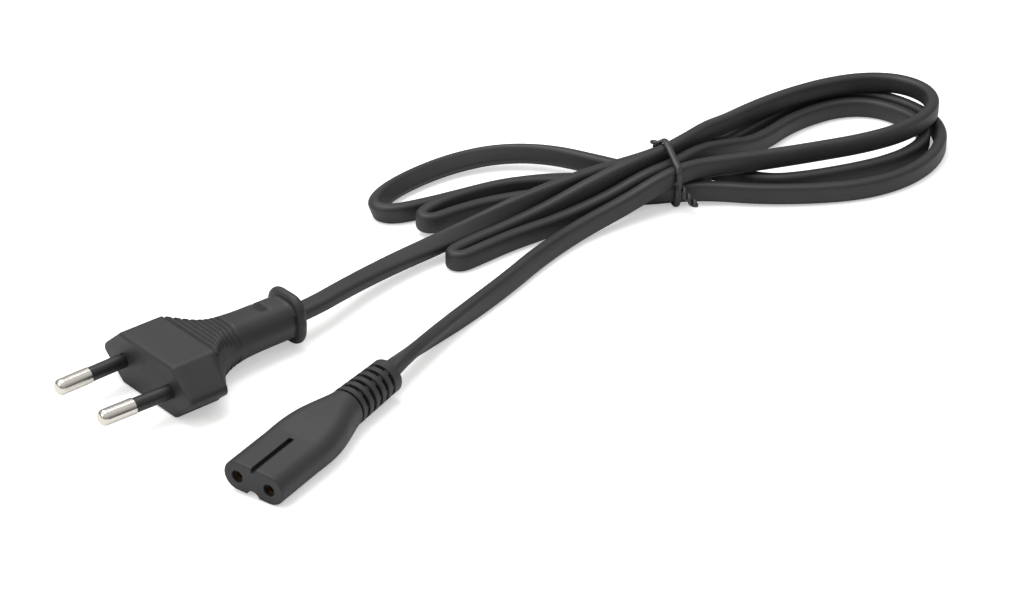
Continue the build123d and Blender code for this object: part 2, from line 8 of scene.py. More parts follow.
import bpy
import numpy as np
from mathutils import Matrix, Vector


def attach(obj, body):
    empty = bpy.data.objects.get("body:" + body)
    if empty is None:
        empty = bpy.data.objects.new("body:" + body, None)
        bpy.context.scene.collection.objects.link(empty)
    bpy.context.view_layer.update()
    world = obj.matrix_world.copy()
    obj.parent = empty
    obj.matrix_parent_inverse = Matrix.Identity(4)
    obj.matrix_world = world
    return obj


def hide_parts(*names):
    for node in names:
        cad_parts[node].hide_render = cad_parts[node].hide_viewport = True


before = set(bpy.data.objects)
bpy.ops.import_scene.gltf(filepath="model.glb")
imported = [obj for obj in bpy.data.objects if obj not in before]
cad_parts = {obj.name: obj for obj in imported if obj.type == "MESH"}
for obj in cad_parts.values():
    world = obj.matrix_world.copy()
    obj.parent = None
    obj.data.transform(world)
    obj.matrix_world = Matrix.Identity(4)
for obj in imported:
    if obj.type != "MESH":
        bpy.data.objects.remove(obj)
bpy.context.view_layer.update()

bl_info = {
    "name": "Mains Lead Scene",
    "version": (1, 0, 0),
    "blender": (4, 5, 0),
    "location": "View3D > Sidebar > Mains Lead",
    "description": "Builds the lead's cord, tie, plug and connector round the CAD frame, and a studio for them",
    "category": "Object",
}

# Middle line of the whole cord: x, y, z, then roll, which is 0 with the wide side level and 90 on edge
ROUTE = [
    (0.0350, 0.0000, 0.0068, 0), (0.0425, 0.0001, 0.0068, 0), (0.0530, 0.0030, 0.0059, 0),
    (0.0640, 0.0060, 0.0047, 5), (0.0760, 0.0080, 0.0040, 12), (0.0880, 0.0086, 0.0039, 25),
    (0.1000, 0.0082, 0.0048, 45), (0.1130, 0.0066, 0.0069, 70), (0.1270, 0.0043, 0.0087, 90),
    (0.1380, 0.0026, 0.0092, 90), (0.1470, 0.0009, 0.0092, 90), (0.1560, 0.0003, 0.0089, 90),
    (0.1660, 0.0007, 0.0086, 90), (0.1750, 0.0008, 0.0058, 90), (0.1840, 0.0009, 0.0032, 90),
    (0.1930, 0.0023, 0.0029, 90), (0.2030, 0.0040, 0.0028, 90), (0.2130, 0.0052, 0.0028, 90),
    (0.2246, 0.0043, 0.0028, 90), (0.2354, -0.0012, 0.0028, 90), (0.2393, -0.0126, 0.0028, 90),
    (0.2383, -0.0255, 0.0028, 90), (0.2314, -0.0353, 0.0028, 90), (0.2200, -0.0416, 0.0028, 90),
    (0.2070, -0.0434, 0.0028, 90), (0.1940, -0.0409, 0.0029, 90), (0.1820, -0.0339, 0.0030, 90),
    (0.1710, -0.0251, 0.0032, 90), (0.1629, -0.0163, 0.0035, 90), (0.1559, -0.0111, 0.0037, 90),
    (0.1478, -0.0053, 0.0031, 90), (0.1379, 0.0031, 0.0030, 90), (0.1260, 0.0113, 0.0032, 90),
    (0.1140, 0.0160, 0.0034, 90), (0.1030, 0.0178, 0.0036, 90), (0.0948, 0.0179, 0.0037, 90),
    (0.0936, 0.0217, 0.0040, 90), (0.0995, 0.0223, 0.0046, 85), (0.1075, 0.0218, 0.0048, 80),
    (0.1164, 0.0202, 0.0049, 80), (0.1249, 0.0171, 0.0049, 85), (0.1329, 0.0125, 0.0043, 90),
    (0.1409, 0.0058, 0.0036, 90), (0.1485, -0.0016, 0.0034, 90), (0.1561, -0.0071, 0.0037, 90),
    (0.1610, -0.0094, 0.0035, 90), (0.1660, -0.0101, 0.0032, 90), (0.1686, -0.0068, 0.0031, 90),
    (0.1660, -0.0037, 0.0032, 90), (0.1611, -0.0035, 0.0035, 90), (0.1562, -0.0035, 0.0037, 90),
    (0.1488, 0.0030, 0.0034, 90), (0.1403, 0.0108, 0.0031, 90), (0.1312, 0.0180, 0.0030, 90),
    (0.1201, 0.0229, 0.0029, 90), (0.1091, 0.0253, 0.0028, 90), (0.0990, 0.0277, 0.0028, 90),
    (0.0912, 0.0304, 0.0028, 80), (0.0896, 0.0356, 0.0028, 70), (0.0978, 0.0406, 0.0028, 55),
    (0.1100, 0.0424, 0.0029, 45), (0.1230, 0.0414, 0.0033, 45), (0.1345, 0.0364, 0.0040, 55),
    (0.1435, 0.0270, 0.0043, 70), (0.1493, 0.0133, 0.0042, 85), (0.1547, 0.0016, 0.0038, 90),
    (0.1625, 0.0003, 0.0031, 90), (0.1698, -0.0016, 0.0027, 90), (0.1733, -0.0084, 0.0027, 90),
    (0.1742, -0.0156, 0.0027, 90), (0.1784, -0.0225, 0.0027, 90), (0.1859, -0.0271, 0.0028, 90),
    (0.1960, -0.0312, 0.0028, 90), (0.2060, -0.0344, 0.0028, 90), (0.2160, -0.0356, 0.0028, 90),
    (0.2256, -0.0336, 0.0028, 90), (0.2324, -0.0276, 0.0028, 90), (0.2348, -0.0186, 0.0028, 90),
    (0.2326, -0.0082, 0.0028, 90), (0.2248, -0.0024, 0.0029, 90), (0.2140, -0.0007, 0.0029, 90),
    (0.2050, -0.0012, 0.0030, 90), (0.1961, -0.0034, 0.0032, 90), (0.1871, -0.0047, 0.0040, 90),
    (0.1773, -0.0056, 0.0069, 90), (0.1662, -0.0064, 0.0095, 90), (0.1561, -0.0076, 0.0091, 90),
    (0.1470, -0.0065, 0.0086, 90), (0.1350, -0.0046, 0.0052, 90), (0.1200, -0.0022, 0.0030, 90),
    (0.1060, -0.0007, 0.0029, 90), (0.0946, -0.0010, 0.0029, 90), (0.0884, -0.0009, 0.0028, 90),
    (0.0878, 0.0028, 0.0028, 90), (0.0940, 0.0037, 0.0028, 88), (0.1070, 0.0030, 0.0034, 85),
    (0.1200, 0.0013, 0.0053, 85), (0.1331, -0.0008, 0.0088, 90), (0.1451, -0.0027, 0.0110, 90),
    (0.1562, -0.0038, 0.0115, 90), (0.1654, -0.0034, 0.0122, 90), (0.1745, -0.0010, 0.0116, 90),
    (0.1843, 0.0014, 0.0096, 90), (0.1931, 0.0031, 0.0088, 90), (0.2031, 0.0035, 0.0086, 90),
    (0.2130, 0.0029, 0.0084, 90), (0.2230, 0.0011, 0.0084, 90), (0.2334, -0.0028, 0.0083, 90),
    (0.2406, -0.0100, 0.0083, 90), (0.2419, -0.0190, 0.0083, 90), (0.2374, -0.0266, 0.0083, 90),
    (0.2290, -0.0310, 0.0083, 90), (0.2170, -0.0318, 0.0083, 90), (0.2050, -0.0292, 0.0083, 90),
    (0.1940, -0.0252, 0.0084, 90), (0.1830, -0.0208, 0.0084, 90), (0.1720, -0.0163, 0.0086, 90),
    (0.1635, -0.0125, 0.0088, 90), (0.1559, -0.0109, 0.0091, 90), (0.1479, -0.0103, 0.0082, 90),
    (0.1380, -0.0090, 0.0053, 90), (0.1220, -0.0084, 0.0032, 95), (0.1060, -0.0116, 0.0029, 105),
    (0.0900, -0.0168, 0.0028, 110), (0.0740, -0.0212, 0.0028, 95), (0.0600, -0.0252, 0.0034, 65),
    (0.0460, -0.0303, 0.0048, 38), (0.0375, -0.0339, 0.0052, 10), (0.0300, -0.0367, 0.0050, -5),
]


def srgb(text):
    """Linear red, green, blue, alpha of a colour written as RRGGBB."""
    values = [int(text[i : i + 2], 16) / 255 for i in (0, 2, 4)]
    linear = [v / 12.92 if v <= 0.04045 else ((v + 0.055) / 1.055) ** 2.4 for v in values]
    return (*linear, 1.0)


def feed(tree, node, inputs):
    """Gives each input of a node, by name or number, its value, or a link where that is another node's output."""
    for name, value in inputs.items():
        if isinstance(value, bpy.types.NodeSocket):
            tree.links.new(value, node.inputs[name])
        else:
            node.inputs[name].default_value = value


def add(tree, kind, output, inputs, stops=(), **settings):
    """Adds a node with its settings, its inputs and a colour ramp's stops, and gives one of its outputs."""
    node = tree.nodes.new("ShaderNode" + kind)
    for name, value in settings.items():
        setattr(node, name, value)
    for k, (position, color) in enumerate(stops):
        node.color_ramp.elements[k].position = position
        node.color_ramp.elements[k].color = (*color[:3], 1.0)
    feed(tree, node, inputs)
    return node.outputs[output]


def pattern(tree, per_metre, detail=4.0, squeeze=(1.0, 1.0, 1.0), attribute=None):
    """Noise with that many features to the metre, over Object coordinates or a mesh attribute, squeezed by axis."""
    if attribute:
        place = add(tree, "Attribute", "Vector", {}, attribute_name=attribute)
    else:
        place = add(tree, "TexCoord", "Object", {})
    place = add(tree, "Mapping", "Vector", {"Vector": place, "Scale": squeeze})
    return add(tree, "TexNoise", "Fac", {"Vector": place, "Scale": per_metre, "Detail": detail})


def made_surface(name, color, roughness, metallic=0.0, mottle=None, sheen=None, relief=None, edge=0.0):
    """A material of one finish. Each pattern is written as what pattern() takes.

    mottle: pattern, dark colour, light colour. sheen: pattern, least and most roughness. relief: pattern, depth in
    metres, strength. edge: radius in metres to which sharp edges look worn.
    """
    made = bpy.data.materials.new(name)
    made.use_nodes = True
    tree = made.node_tree
    shader = tree.nodes["Principled BSDF"]
    feed(tree, shader, {"Base Color": (*color[:3], 1.0), "Roughness": roughness, "Metallic": metallic})
    if mottle:
        patches, dark, light = mottle
        stops = ((0.3, dark), (0.7, light))
        feed(tree, shader, {"Base Color": add(tree, "ValToRGB", "Color", {"Fac": pattern(tree, *patches)}, stops)})
    if sheen:
        patches, least, most = sheen
        ends = {"Value": pattern(tree, *patches), "To Min": least, "To Max": most}
        feed(tree, shader, {"Roughness": add(tree, "MapRange", "Result", ends)})
    if relief:
        grain, depth, strength = relief
        bump = {"Height": pattern(tree, *grain), "Distance": depth, "Strength": strength}
        if edge:
            bump["Normal"] = add(tree, "Bevel", "Normal", {"Radius": edge}, samples=6)
        feed(tree, shader, {"Normal": add(tree, "Bump", "Normal", bump)})
    return made


def moulded_pvc():
    """Soft black PVC of the plug and connector, injection moulded against a spark-eroded mould.

    The eye gets a matt grain of 0.3 mm, coarser than the real one so that it shows, a sheen that changes over 4 mm
    and a faint bloom in patches of 17 mm.
    """
    use = bpy.context.scene.mains_lead_finish
    mottle = ((60,), use.body_dark, use.body_light)
    sheen = ((240,), 0.46, 0.62)
    relief = ((3200, 3), 0.00003, 0.5)
    return made_surface("PVC, moulded, black", srgb("242426"), 0.5, 0.0, mottle, sheen, relief, edge=0.0003)


def jacket_pvc():
    """Extruded black PVC of the cord's jacket.

    The eye gets drawn lines along the cord, 1.1 mm apart and 55 mm long, a dull sheen that follows them, and a slow
    change of shade over 22 mm.
    """
    use = bpy.context.scene.mains_lead_finish
    lines = (900, 3, (0.02, 1.0, 1.0), "jacket")
    mottle = ((45,), use.jacket_dark, use.jacket_light)
    sheen = (lines, 0.44, 0.6)
    return made_surface("PVC, extruded jacket, black", srgb("232325"), 0.5, 0.0, mottle, sheen, (lines, 0.00004, 0.6))


def tie_pvc():
    """Thin black PVC extruded over the tie's wire: smoother than the jacket, with a faint grain of 0.6 mm."""
    use = bpy.context.scene.mains_lead_finish
    mottle = ((300,), use.tie_dark, use.tie_light)
    relief = ((1800, 2), 0.00003, 0.4)
    return made_surface("PVC, wire coating, black", srgb("2C2C2E"), 0.42, 0.0, mottle, None, relief)


def sleeve_nylon():
    """Hard black nylon of the pins' sleeves, moulded: satin, with marks of 0.7 mm that run round the pin."""
    marks = (1500, 2, (1.0, 0.05, 0.05))
    sheen = (marks, 0.34, 0.46)
    relief = (marks, 0.00002, 0.4)
    return made_surface("Nylon, sleeve, black", srgb("1C1C1E"), 0.38, 0.0, None, sheen, relief, edge=0.0001)


def nickel():
    """Nickel plate on turned brass: bright, with fine rings 0.4 mm apart and handling marks of 1.4 mm."""
    color = bpy.context.scene.mains_lead_finish.pin
    sheen = ((700,), 0.12, 0.26)
    relief = ((2600, 2, (1.0, 0.03, 0.03)), 0.000015, 0.35)
    return made_surface("Nickel plate on brass", color, 0.16, 1.0, None, sheen, relief, edge=0.0002)


def bridge_nylon():
    """Glass filled natural nylon of the parts inside, moulded: slightly translucent, with a grain of 0.8 mm."""
    made = made_surface("Nylon, glass filled, natural", srgb("CFC9BC"), 0.45, relief=((1200,), 0.00004, 0.5))
    glow = {"Subsurface Weight": 0.2, "Subsurface Radius": (0.0006, 0.0005, 0.0004)}
    feed(made.node_tree, made.node_tree.nodes["Principled BSDF"], glow)
    return made


def copper():
    """Bare stranded copper: the strands show as a fine lay, 0.2 mm across."""
    relief = ((5000, 1, (0.2, 1.0, 1.0)), 0.0001, 1.0)
    return made_surface("Copper, stranded, bare", srgb("C9805C"), 0.3, 1.0, relief=relief)


def core_pvc(name, dark, light):
    """PVC extruded over one core's copper: smooth, with a slight mottle of 5 mm."""
    mottle = ((200,), srgb(dark), srgb(light))
    return made_surface(name, srgb(light), 0.4, 0.0, mottle, relief=((1500,), 0.00003, 0.4))


def bronze():
    """Drawn phosphor bronze of the contacts, lightly tarnished in patches of 1.7 mm."""
    sheen = ((600,), 0.2, 0.45)
    relief = ((2200,), 0.00002, 0.4)
    return made_surface("Phosphor bronze, drawn", srgb("C79A62"), 0.28, 1.0, sheen=sheen, relief=relief)


MATERIALS = {}


def finish_of(slot):
    """The material that stands for a slot of the record, made the first time it is asked for."""
    makers = {
        "moulded_pvc": moulded_pvc,
        "cord_jacket": jacket_pvc,
        "tie_plastic": tie_pvc,
        "sleeve_plastic": sleeve_nylon,
        "nickel_brass": nickel,
        "bridge_plastic": bridge_nylon,
        "copper_strand": copper,
        "core_blue": lambda: core_pvc("PVC, core, blue", "1B3F86", "2450A4"),
        "core_brown": lambda: core_pvc("PVC, core, brown", "4A2A18", "5E3822"),
        "contact_bronze": bronze,
    }
    if slot not in MATERIALS:
        MATERIALS[slot] = makers[slot]()
    return MATERIALS[slot]


def dress(slot, *nodes):
    """Gives CAD nodes the material of a slot."""
    for node in nodes:
        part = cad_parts[node]
        part.data.materials.clear()
        part.data.materials.append(finish_of(slot))


def spline_points(points, resolution):
    """Points along a clamped quadratic NURBS spline, read from Blender's own curve without a bevel."""
    curve = bpy.data.curves.new("reading", "CURVE")
    curve.dimensions = "3D"
    spline = curve.splines.new("NURBS")
    spline.points.add(len(points) - 1)
    spline.points.foreach_set("co", [v for point in points for v in (*point, 1.0)])
    spline.order_u = 3
    spline.use_endpoint_u = True
    spline.resolution_u = resolution
    holder = bpy.data.objects.new("reading", curve)
    bpy.context.scene.collection.objects.link(holder)
    bpy.context.view_layer.update()
    mesh = bpy.data.meshes.new_from_object(holder.evaluated_get(bpy.context.evaluated_depsgraph_get()))
    read = np.empty(3 * len(mesh.vertices))
    mesh.vertices.foreach_get("co", read)
    bpy.data.objects.remove(holder)
    bpy.data.curves.remove(curve)
    bpy.data.meshes.remove(mesh)
    return read.reshape(-1, 3)


def rounded_section(width, height, radius, steps=6):
    """Outline of a rounded rectangle, anticlockwise: corner centre + radius (cos a, sin a) over four quarter turns."""
    signs = np.repeat([(1, 1), (-1, 1), (-1, -1), (1, -1)], steps, axis=0)
    first = np.repeat([0, 90, 180, 270], steps)
    angles = np.radians(first + np.tile(90 * np.arange(steps) / (steps - 1), 4))
    centres = signs * (width / 2 - radius, height / 2 - radius)
    return centres + radius * np.stack([np.cos(angles), np.sin(angles)], axis=1)


def tangents(path, closed=False):
    """Unit tangents of a line of points."""
    if closed:
        ahead = np.roll(path, -1, axis=0) - np.roll(path, 1, axis=0)
    else:
        ahead = np.gradient(path, axis=0)
    return ahead / np.linalg.norm(ahead, axis=1)[:, None]


def level_frame(path, roll=0.0):
    """Across-directions of a line: wide = cos(roll) level + sin(roll) up, and thin square to it."""
    roll = np.broadcast_to(roll, len(path))
    along = tangents(path)
    level = np.cross((0.0, 0.0, 1.0), along)
    level /= np.linalg.norm(level, axis=1)[:, None]
    up = np.cross(along, level)
    wide = np.cos(roll)[:, None] * level + np.sin(roll)[:, None] * up
    return wide, np.cross(along, wide)


def surface(name, rings, slot, closed=False, attribute=None):
    """A mesh piece over a grid of rings: point (i, j) is rings[i, j], each ring is closed, the ends are capped."""
    count, around = rings.shape[:2]
    i, j = np.meshgrid(np.arange(count if closed else count - 1), np.arange(around), indexing="ij")
    here = i * around
    following = (i + 1) % count * around
    beside = (j + 1) % around
    quads = np.stack([here + j, here + beside, following + beside, following + j], axis=-1)
    faces = quads.reshape(-1, 4).tolist()
    if not closed:
        faces.append(list(range(around))[::-1])
        faces.append(list(range((count - 1) * around, count * around)))
    mesh = bpy.data.meshes.new(name)
    mesh.from_pydata(rings.reshape(-1, 3).tolist(), [], faces)
    mesh.polygons.foreach_set("use_smooth", [len(face) == 4 for face in faces])
    if attribute:
        values = mesh.attributes.new(attribute[0], "FLOAT_VECTOR", "POINT")
        values.data.foreach_set("vector", attribute[1].reshape(-1))
    mesh.validate()
    mesh.materials.append(finish_of(slot))
    piece = bpy.data.objects.new(name, mesh)
    bpy.context.scene.collection.objects.link(piece)
    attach(piece, "root")
    return piece


def swept(path, wide, thin, section):
    """Rings of a section carried along a path: path + wide u + thin v for each outline point (u, v)."""
    return path[:, None, :] + wide[:, None, :] * section[None, :, :1] + thin[:, None, :] * section[None, :, 1:]


def length_of(path):
    """Distance along a line of points, at each point."""
    steps = np.linalg.norm(np.diff(path, axis=0), axis=1)
    return np.concatenate([[0.0], np.cumsum(steps)])


class CordSettings(bpy.types.PropertyGroup):
    """Section of the flat twin cord."""

    width: bpy.props.FloatProperty(
        name="Width", description="Across both cores", default=0.0054, unit="LENGTH"
    )
    thickness: bpy.props.FloatProperty(
        name="Thickness", description="Across one core", default=0.0034, unit="LENGTH"
    )
    edge: bpy.props.FloatProperty(
        name="Edge radius", description="Rounding of the jacket's edges", default=0.0013, unit="LENGTH"
    )
    resolution: bpy.props.IntProperty(
        name="Resolution", description="Rings of the mesh for each point of the route", default=12
    )


class TieSettings(bpy.types.PropertyGroup):
    """Where the twist tie crosses the bundle, and its wire."""

    place: bpy.props.FloatVectorProperty(
        name="Place", description="A point of its plane", default=(0.1562, -0.0055, 0.006), subtype="TRANSLATION"
    )
    turn: bpy.props.FloatProperty(
        name="Turn", description="How far its near side leans towards the plug", default=radians(23), subtype="ANGLE"
    )
    wire_width: bpy.props.FloatProperty(
        name="Wire width", description="Along the cord", default=0.0018, unit="LENGTH"
    )
    wire_height: bpy.props.FloatProperty(
        name="Wire height", description="Off the cord", default=0.0011, unit="LENGTH"
    )


class FinishSettings(bpy.types.PropertyGroup):
    """Colours of the plastics and the pins. Each plastic is mottled between a dark and a light shade."""

    body_dark: bpy.props.FloatVectorProperty(
        name="Body, dark", description="Plug and connector", default=srgb("202022")[:3], subtype="COLOR"
    )
    body_light: bpy.props.FloatVectorProperty(
        name="Body, light", description="Plug and connector", default=srgb("29292B")[:3], subtype="COLOR"
    )
    jacket_dark: bpy.props.FloatVectorProperty(
        name="Jacket, dark", description="Cord", default=srgb("1E1E20")[:3], subtype="COLOR"
    )
    jacket_light: bpy.props.FloatVectorProperty(
        name="Jacket, light", description="Cord", default=srgb("29292B")[:3], subtype="COLOR"
    )
    tie_dark: bpy.props.FloatVectorProperty(
        name="Tie, dark", description="Coating of its wire", default=srgb("262628")[:3], subtype="COLOR"
    )
    tie_light: bpy.props.FloatVectorProperty(
        name="Tie, light", description="Coating of its wire", default=srgb("343436")[:3], subtype="COLOR"
    )
    pin: bpy.props.FloatVectorProperty(
        name="Pins", description="Their plating", default=srgb("D6D2CA")[:3], subtype="COLOR"
    )


class StageSettings(bpy.types.PropertyGroup):
    """Camera, light and floor."""

    camera: bpy.props.FloatVectorProperty(
        name="Camera", description="Its place", default=(-0.31299, -0.47929, 0.34863), subtype="TRANSLATION"
    )
    yaw: bpy.props.FloatProperty(
        name="Yaw", description="From +X towards +Y", default=radians(48.816), subtype="ANGLE"
    )
    pitch: bpy.props.FloatProperty(
        name="Pitch", description="Downwards", default=radians(29.832), subtype="ANGLE"
    )
    lens: bpy.props.FloatProperty(
        name="Lens", description="In millimetres, on a 36 mm sensor", default=100.0
    )
    key: bpy.props.FloatProperty(
        name="Key light", description="Power of the soft box above", default=6.0, unit="POWER"
    )


def cord_line(resolution):
    """The cord's middle line and its roll in radians along it, both read from splines with the route's points."""
    path = spline_points([point[:3] for point in ROUTE], resolution)
    rolls = spline_points([(point[3] / 1000, 0.0, 0.0) for point in ROUTE], resolution)
    return path, np.radians(1000 * rolls[:, 0])


class MAINSLEAD_OT_cord(bpy.types.Operator):
    """The whole cord: one rounded flat section carried along one NURBS spline, with the route's own roll."""

    bl_idname = "mainslead.cord"
    bl_label = "Cord"

    def execute(self, context):
        use = context.scene.mains_lead_cord
        path, roll = cord_line(use.resolution)
        wide, thin = level_frame(path, roll)
        section = rounded_section(use.width, use.thickness, use.edge)
        rings = swept(path, wide, thin, section)
        along = length_of(path)
        girth = length_of(section)
        marks = np.zeros((*rings.shape[:2], 3))
        marks[..., 0] = along[:, None]
        marks[..., 1] = girth[None, :]
        cord = surface("cord", rings, "cord_jacket", attribute=("jacket", marks))
        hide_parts("cord_plug_lead", "cord_connector_lead", "cord_hank")
        return {"FINISHED"}


def taut_line(points, gap, count):
    """A line drawn tight round flat points at a distance, evenly spaced.

    Its point with the outward direction a is the point that reaches furthest along a, + gap (cos a, sin a).
    """
    angles = np.linspace(0, 2 * pi, 1440, endpoint=False)
    normals = np.stack([np.cos(angles), np.sin(angles)], axis=1)
    reach = points @ normals.T
    line = points[reach.argmax(axis=0)] + gap * normals
    line = np.vstack([line, line[:1]])
    along = length_of(line)
    even = np.linspace(0, along[-1], count, endpoint=False)
    return np.stack([np.interp(even, along, line[:, k]) for k in (0, 1)], axis=1)


# Tail of the tie, as steps from the loop's near side, and its folded end, as steps from the loop's far top edge
TAIL = [
    (-0.0002, 0.0004, 0.0030), (-0.0001, -0.0007, 0.0014), (0.0003, -0.0018, 0.0000),
    (0.0008, -0.0034, -0.0014), (0.0013, -0.0054, -0.0026),
]
FOLD = [
    (-0.0002, -0.0026, 0.0002), (-0.0010, -0.0012, 0.0009), (-0.0013, 0.0002, 0.0008),
    (-0.0007, 0.0007, 0.0003), (0.0003, 0.0002, -0.0002),
]
# In metres: one turn of the twist, the tail's wire and its place off the middle line, the height the tail starts at,
# the folded wire's section, how far the bundle reaches to each side, and the wire's gaps to the cord and the floor
TAIL_PITCH = 0.0042
TAIL_WIRE, TAIL_RADIUS, TAIL_OFFSET = 0.00115, 0.00057, 0.00058
TAIL_HEIGHT = 0.0052
FOLD_WIRE = (0.0014, 0.0011, 0.0005)
BUNDLE_REACH = 0.012
CORD_GAP, FLOOR_GAP = 0.0001, 0.00003


def tie_loop(use, cord):
    """Line of the tie's wire round the bundle, and the direction of the tie's width.

    The cord's vertices within the wire's width of the tie's plane are drawn round tightly, and the line is kept on
    or above the floor.
    """
    across = np.array((sin(use.turn), cos(use.turn), 0.0))
    along = np.array((cos(use.turn), -sin(use.turn), 0.0))
    vertices = np.empty(3 * len(cord.data.vertices))
    cord.data.vertices.foreach_get("co", vertices)
    place = np.array(use.place)
    offset = vertices.reshape(-1, 3) - place
    close = np.abs(offset @ along) < use.wire_width / 2
    close &= np.abs(offset @ across) < BUNDLE_REACH
    flat = np.stack([offset[close] @ across, offset[close][:, 2]], axis=1)
    line = taut_line(flat, use.wire_height / 2 + CORD_GAP, 160)
    loop = place + line[:, :1] * across + line[:, 1:] * np.array((0.0, 0.0, 1.0))
    loop[:, 2] = np.maximum(loop[:, 2], use.wire_height / 2 + FLOOR_GAP)
    return loop, along


class MAINSLEAD_OT_tie(bpy.types.Operator):
    """Twist tie: a coated wire drawn tight round the bundle's own outline, its two ends twisted into a tail."""

    bl_idname = "mainslead.tie"
    bl_label = "Twist tie"

    def execute(self, context):
        use = context.scene.mains_lead_tie
        cord = bpy.data.objects.get("cord")
        if cord is None:
            raise RuntimeError("the tie goes round the cord, so the cord is made first")
        loop, along = tie_loop(use, cord)
        side = np.repeat(along[None, :], len(loop), axis=0)
        out = np.cross(tangents(loop, True), side)
        angles = np.linspace(0, 2 * pi, 16, endpoint=False)
        section = np.stack([use.wire_width / 2 * np.cos(angles), use.wire_height / 2 * np.sin(angles)], axis=1)
        wire = surface("twist_tie_wire", swept(loop, side, out, section), "tie_plastic", closed=True)
        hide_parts("twist_tie")
        # Two wires in a helix round a line that leaves the loop on its near side and goes down towards the floor
        near = loop[np.argmin(loop[:, 1] + 0.8 * np.abs(loop[:, 2] - TAIL_HEIGHT))]
        middle = spline_points([tuple(near + step) for step in TAIL], 24)
        wide, thin = level_frame(middle)
        turn = length_of(middle) / TAIL_PITCH * 2 * pi
        ring = rounded_section(TAIL_WIRE, TAIL_WIRE, TAIL_RADIUS, 4)
        for name, phase in (("twist_tie_tail_a", 0.0), ("twist_tie_tail_b", pi)):
            swing = np.cos(turn + phase)[:, None] * wide + np.sin(turn + phase)[:, None] * thin
            strand = middle + TAIL_OFFSET * swing
            surface(name, swept(strand, *level_frame(strand), ring), "tie_plastic")
        # The folded end of the wire stands up a little on the far top edge
        far = loop[np.argmax(loop[:, 2] + loop[:, 1])]
        middle = spline_points([tuple(far + step) for step in FOLD], 16)
        ring = rounded_section(*FOLD_WIRE, 4)
        surface("twist_tie_fold", swept(middle, *level_frame(middle), ring), "tie_plastic")
        section_of = context.scene.mains_lead_cord
        path, _ = cord_line(section_of.resolution)
        return {"FINISHED"}


# Plug body, in millimetres behind its face or from its axis: where the face is and how round its edge, how far back
# the wings go at full width and how fast they fade, where the head ends, the eight grip grooves, the holding slot,
# the collar's middle and the radius of its rim, and how far the neck's end stands off the axis
PLUG_FACE = (-6.0, 0.0, 6.85)
FACE_ROUND = 0.9
WING_BACK, WING_FADE, WING_NOSE = 10.4, 2.3, 15.8
SHOULDER, NECK_END_EASE = 12.0, 13.0
HEAD_RADIUS, NECK_RADIUS_GAIN = 1.8, 2.7
GROOVES = [12.2 + 1.42 * k for k in range(8)]
GROOVE_WIDTH, GROOVE_DEPTH = 0.8, 0.85
SLOT_START, SLOT_END, SLOT_MIDDLE, SLOT_REACH = 33.35, 34.5, 1.4, 2.9
COLLAR, RIM = 41.2, 1.35
NECK_SHIFT = 0.4


def soft_hexagon(top, nose, high, radius, arc=12, run=5):
    """Outline (y, z) of a hexagon with the corners (+-nose, 0), (+-top, +-high), moved outwards by a radius.

    The point with the outward direction a is the corner that reaches furthest along a, + radius (cos a, sin a), with
    arc points for each corner and run points on each side between.
    """
    lean = np.arctan2(nose - top, high)
    corners = [(nose, 0.0), (top, high), (-top, high), (-nose, 0.0), (-top, -high), (top, -high)]
    edges = [-lean, lean, pi / 2, pi - lean, pi + lean, 1.5 * pi, 2 * pi - lean]
    outline = []
    for (y, z), first, last in zip(corners, edges[:-1], edges[1:]):
        angles = np.linspace(first, last, arc)
        outline.append(np.stack([y + radius * np.cos(angles), z + radius * np.sin(angles)], axis=1))
    rows = []
    for one, other in zip(outline, outline[1:] + outline[:1]):
        steps = np.linspace(0, 1, run + 2)[1:-1, None]
        rows += [one, one[-1] + steps * (other[0] - one[-1])]
    return np.vstack(rows)


def plug_stations():
    """Places of the plug body's rings behind its face: close together wherever an edge turns."""
    stations = [FACE_ROUND * (1 - cos(a)) for a in np.linspace(0, pi / 2, 6)]
    stations += [2, 4, 6, 8, 9.4, 10.0, 10.3, 10.6, 10.9, 11.2, 11.6]
    for start in GROOVES:
        stations += [start + step for step in (-0.06, 0.0, 0.1, 0.38, 0.66, 0.76, 0.82)]
    stations += [*np.arange(23.6, 32.6, 1.0), 33.3, 33.36, 33.42, 33.9, 34.4, 34.46, 34.52]
    stations += [*np.arange(35.4, 39.4, 0.8), COLLAR - RIM - 0.02]
    return stations + [COLLAR - RIM * cos(a) for a in np.linspace(0, pi, 17)]


